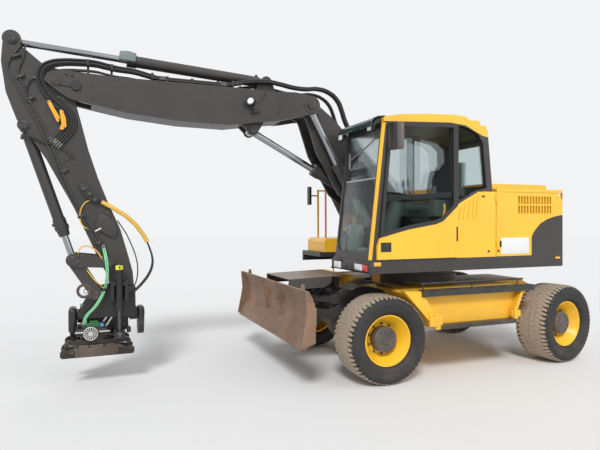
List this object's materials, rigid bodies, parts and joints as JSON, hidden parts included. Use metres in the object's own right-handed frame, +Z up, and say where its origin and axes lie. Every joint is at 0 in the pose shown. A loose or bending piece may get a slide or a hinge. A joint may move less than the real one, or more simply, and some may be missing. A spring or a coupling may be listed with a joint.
{
  "type": "wheeled excavator with two-piece boom, dozer blade and tilting, turning quick coupler",
  "caption": "Wheeled excavator, yellow and dark grey, with a two-piece boom, arm, tilting and turning quick coupler, dozer blade, cab and steered rear wheels.",
  "frame": {"origin": "on the ground under the middle of the whole machine", "axes": "+X ahead, along the boom and towards the blade; +Y towards the cab side; +Z up"},
  "size_m": [7.3254, 2.7643, 4.0029],
  "materials": {
    "paint_yellow": "satin",
    "paint_grey": "satin",
    "rubber": "matte",
    "rod_chrome": "polished",
    "worn_steel": "rough",
    "glass": "clear",
    "cloth": "matte",
    "plastic": "matte",
    "black": "satin",
    "lamp": "clear",
    "steel": "satin"
  },
  "bodies": {
    "chassis": {"chassis_frame": "paint_yellow", "axle_fixed": "paint_grey", "axle_steer": "paint_grey", "steps": "black"},
    "knuckle_left": {"knuckle_left": "paint_grey"},
    "knuckle_right": {"knuckle_right": "paint_grey"},
    "wheel_front_left": {"rim_front_left": "paint_yellow", "tyre_front_left": "rubber"},
    "wheel_front_right": {"rim_front_right": "paint_yellow", "tyre_front_right": "rubber"},
    "wheel_rear_left": {"rim_rear_left": "paint_yellow", "tyre_rear_left": "rubber"},
    "wheel_rear_right": {"rim_rear_right": "paint_yellow", "tyre_rear_right": "rubber"},
    "blade_arms": {"blade_arms": "worn_steel"},
    "blade_links": {"blade_links": "worn_steel"},
    "blade": {"blade": "worn_steel"},
    "blade_barrels": {"blade_barrels": "paint_grey"},
    "blade_rods": {"blade_rods": "rod_chrome"},
    "upper": {"deck": "paint_grey", "counterweight": "paint_grey", "engine_block": "steel", "tanks": "paint_yellow", "side_panels": "paint_yellow", "cab_frame": "paint_grey", "cab_roof": "paint_yellow", "cab_glass": "glass", "visor": "paint_grey", "seat": "cloth", "consoles": "plastic", "rails": "paint_yellow", "mirrors": "black", "lamps": "lamp"},
    "hood": {"hood": "paint_yellow"},
    "engine_door_left": {"engine_door_left": "paint_yellow"},
    "engine_door_right": {"engine_door_right": "paint_yellow"},
    "cab_door": {"cab_door": "paint_yellow", "cab_door_frame": "paint_grey", "cab_door_glass": "glass"},
    "base_boom": {"base_boom": "paint_grey"},
    "lift_barrels": {"lift_barrels": "paint_grey"},
    "lift_rods": {"lift_rods": "rod_chrome"},
    "adjust_barrel": {"adjust_barrel": "paint_grey"},
    "adjust_rod": {"adjust_rod": "rod_chrome"},
    "front_boom": {"front_boom": "paint_grey"},
    "arm_barrel": {"arm_barrel": "paint_grey"},
    "arm_rod": {"arm_rod": "rod_chrome"},
    "arm": {"arm": "paint_grey"},
    "tool_barrel": {"tool_barrel": "paint_grey"},
    "tool_rod": {"tool_rod": "rod_chrome"},
    "rocker": {"rocker": "paint_grey"},
    "tool_link": {"tool_link": "paint_grey"},
    "tool_bracket": {"tool_bracket": "paint_grey"},
    "tilt_barrel_left": {"tilt_barrel_left": "black"},
    "tilt_barrel_right": {"tilt_barrel_right": "black"},
    "tilt_rod_left": {"tilt_rod_left": "rod_chrome"},
    "tilt_rod_right": {"tilt_rod_right": "rod_chrome"},
    "rotator": {"rotator": "black"},
    "coupler": {"coupler": "worn_steel"}
  },
  "joints": [
    {"name": "steer_left", "type": "hinge", "parent": "chassis", "child": "knuckle_left", "pos_m": [-3.1175, 0.752, 0.515], "axis": [0, 0, 1], "range_deg": [-40.5, 23.5]},
    {"name": "steer_right", "type": "hinge", "parent": "chassis", "child": "knuckle_right", "pos_m": [-3.1175, -0.752, 0.515], "axis": [0, 0, 1], "range_deg": [-40.5, 23.5]},
    {"name": "roll_front_left", "type": "hinge", "parent": "chassis", "child": "wheel_front_left", "pos_m": [-0.4525, 1.052, 0.515], "axis": [0, 1, 0], "continuous": true},
    {"name": "roll_rear_left", "type": "hinge", "parent": "knuckle_left", "child": "wheel_rear_left", "pos_m": [-3.16184, 1.0487, 0.515], "axis": [-0.1478, 0.989, 0], "continuous": true},
    {"name": "roll_front_right", "type": "hinge", "parent": "chassis", "child": "wheel_front_right", "pos_m": [-0.4525, -1.052, 0.515], "axis": [0, 1, 0], "continuous": true},
    {"name": "roll_rear_right", "type": "hinge", "parent": "knuckle_right", "child": "wheel_rear_right", "pos_m": [-3.07316, -1.0487, 0.515], "axis": [-0.1478, 0.989, 0], "continuous": true},
    {"name": "blade", "type": "hinge", "parent": "chassis", "child": "blade_arms", "pos_m": [-0.195, 0, 0.69], "axis": [0, -1, 0], "range_deg": [-58, 5]},
    {"name": "blade_level", "type": "hinge", "parent": "blade_arms", "child": "blade", "pos_m": [0.4, 0, 0.775], "axis": [0, -1, 0], "range_deg": [-6, 59]},
    {"name": "blade_link", "type": "hinge", "parent": "chassis", "child": "blade_links", "pos_m": [-0.195, 0, 0.88], "axis": [0, -1, 0], "range_deg": [-59, 6]},
    {"name": "blade_barrel_pivot", "type": "hinge", "parent": "chassis", "child": "blade_barrels", "pos_m": [-0.285, 0, 1.12], "axis": [0, -1, 0], "range_deg": [-29.74, 3.02]},
    {"name": "blade_rod_slide", "type": "slide", "parent": "blade_barrels", "child": "blade_rods", "axis": [0.8626, 0, -0.5058], "range_m": [-0.0277, 0.2686]},
    {"name": "slew", "type": "hinge", "parent": "chassis", "child": "upper", "pos_m": [-1.591, 0, 1.288], "axis": [0, 0, 1], "continuous": true},
    {"name": "cab_door", "type": "hinge", "parent": "upper", "child": "cab_door", "pos_m": [-1.426, 1.262, 1.45], "axis": [0, 0, 1], "range_deg": [0, 165]},
    {"name": "engine_door_left", "type": "hinge", "parent": "upper", "child": "engine_door_left", "pos_m": [-2.031, 1.235, 1.5], "axis": [0, 0, 1], "range_deg": [-110, 0]},
    {"name": "engine_door_right", "type": "hinge", "parent": "upper", "child": "engine_door_right", "pos_m": [-2.031, -1.235, 1.5], "axis": [0, 0, -1], "range_deg": [-110, 0]},
    {"name": "hood", "type": "hinge", "parent": "upper", "child": "hood", "pos_m": [-2.036, 0, 2.29], "axis": [0, 1, 0], "range_deg": [0, 55]},
    {"name": "base_boom", "type": "hinge", "parent": "upper", "child": "base_boom", "pos_m": [-1.535, -0.16, 1.7], "axis": [0, 1, 0], "range_deg": [-14, 38]},
    {"name": "lift_barrel_pivot", "type": "hinge", "parent": "upper", "child": "lift_barrels", "pos_m": [-0.951, -0.16, 1.51], "axis": [0, -1, 0], "range_deg": [-43.38, 16.3]},
    {"name": "lift_rod_slide", "type": "slide", "parent": "lift_barrels", "child": "lift_rods", "axis": [0.4666, 0, 0.8845], "range_m": [-0.3675, 0.1386]},
    {"name": "front_boom", "type": "hinge", "parent": "base_boom", "child": "front_boom", "pos_m": [0.046, -0.16, 3.4], "axis": [0, -1, 0], "range_deg": [-32, 5]},
    {"name": "adjust_barrel_pivot", "type": "hinge", "parent": "base_boom", "child": "adjust_barrel", "pos_m": [-1.031, -0.16, 2.1], "axis": [0, -1, 0], "range_deg": [-6.6, 1.45]},
    {"name": "adjust_rod_slide", "type": "slide", "parent": "adjust_barrel", "child": "adjust_rod", "axis": [0.8797, 0, 0.4755], "range_m": [-0.3951, 0.0659]},
    {"name": "arm", "type": "hinge", "parent": "front_boom", "child": "arm", "pos_m": [3.071, -0.16, 3.47], "axis": [0, 1, 0], "range_deg": [-80, 20]},
    {"name": "arm_barrel_pivot", "type": "hinge", "parent": "front_boom", "child": "arm_barrel", "pos_m": [0.579, -0.16, 3.712], "axis": [0, -1, 0], "range_deg": [-2.15, 7.08]},
    {"name": "arm_rod_slide", "type": "slide", "parent": "arm_barrel", "child": "arm_rod", "axis": [0.9978, 0, 0.0665], "range_m": [-0.7681, 0.1958]},
    {"name": "tool", "type": "hinge", "parent": "arm", "child": "tool_bracket", "pos_m": [2.309, -0.16, 1.09], "axis": [0, 1, 0], "range_deg": [-20, 90]},
    {"name": "tool_barrel_pivot", "type": "hinge", "parent": "arm", "child": "tool_barrel", "pos_m": [3.403, -0.16, 2.969], "axis": [0, -1, 0], "range_deg": [-2.71, 0.99]},
    {"name": "tool_rod_slide", "type": "slide", "parent": "tool_barrel", "child": "tool_rod", "axis": [-0.3106, 0, -0.9506], "range_m": [-0.1195, 0.5201]},
    {"name": "rocker", "type": "hinge", "parent": "arm", "child": "rocker", "pos_m": [2.547, -0.16, 1.428], "axis": [0, 1, 0], "range_deg": [-19.98, 88.14]},
    {"name": "tool_link", "type": "hinge", "parent": "tool_bracket", "child": "tool_link", "pos_m": [2.66, -0.16, 1.056], "axis": [0, 1, 0], "range_deg": [-77.43, 17.59]},
    {"name": "tilt", "type": "hinge", "parent": "tool_bracket", "child": "rotator", "pos_m": [2.649, -0.16, 0.8], "axis": [1, 0, 0], "range_deg": [-35, 35]},
    {"name": "tilt_barrel_left_pivot", "type": "hinge", "parent": "tool_bracket", "child": "tilt_barrel_left", "pos_m": [2.419, 0.115, 1.18], "axis": [1, 0, 0], "range_deg": [-12.15, 12.15]},
    {"name": "tilt_rod_left_slide", "type": "slide", "parent": "tilt_barrel_left", "child": "tilt_rod_left", "axis": [0, 0, -1], "range_m": [-0.1708, 0.1708]},
    {"name": "tilt_barrel_right_pivot", "type": "hinge", "parent": "tool_bracket", "child": "tilt_barrel_right", "pos_m": [2.419, -0.435, 1.18], "axis": [1, 0, 0], "range_deg": [-12.15, 12.15]},
    {"name": "tilt_rod_right_slide", "type": "slide", "parent": "tilt_barrel_right", "child": "tilt_rod_right", "axis": [0, 0, -1], "range_m": [-0.1708, 0.1708]},
    {"name": "rotate", "type": "hinge", "parent": "rotator", "child": "coupler", "pos_m": [2.649, -0.16, 0.5], "axis": [0, 0, 1], "continuous": true}
  ],
  "couplings": [
    {"joint": "steer_right", "follows": "steer_left", "ratio": 1},
    {"joint": "blade_level", "follows": "blade", "ratio": -1},
    {"joint": "blade_link", "follows": "blade", "ratio": 1},
    {"joint": "blade_barrel_pivot", "follows": "blade", "ratio": 0.50414},
    {"joint": "blade_rod_slide", "follows": "blade", "m_per_rad": -0.26041},
    {"joint": "lift_barrel_pivot", "follows": "base_boom", "ratio": -1.1285},
    {"joint": "lift_rod_slide", "follows": "base_boom", "m_per_rad": -0.54657},
    {"joint": "adjust_barrel_pivot", "follows": "front_boom", "ratio": 0.19065},
    {"joint": "adjust_rod_slide", "follows": "front_boom", "m_per_rad": 0.6984},
    {"joint": "arm_barrel_pivot", "follows": "arm", "ratio": -0.082278},
    {"joint": "arm_rod_slide", "follows": "arm", "m_per_rad": 0.54653},
    {"joint": "tool_barrel_pivot", "follows": "tool", "ratio": -0.02459},
    {"joint": "tool_rod_slide", "follows": "tool", "m_per_rad": 0.32793},
    {"joint": "rocker", "follows": "tool", "ratio": 0.97378},
    {"joint": "tool_link", "follows": "tool", "ratio": -0.85475},
    {"joint": "tilt_barrel_left_pivot", "follows": "tilt", "ratio": 0.33273},
    {"joint": "tilt_rod_left_slide", "follows": "tilt", "m_per_rad": -0.27146},
    {"joint": "tilt_barrel_right_pivot", "follows": "tilt", "ratio": 0.33273},
    {"joint": "tilt_rod_right_slide", "follows": "tilt", "m_per_rad": 0.27146}
  ]
}
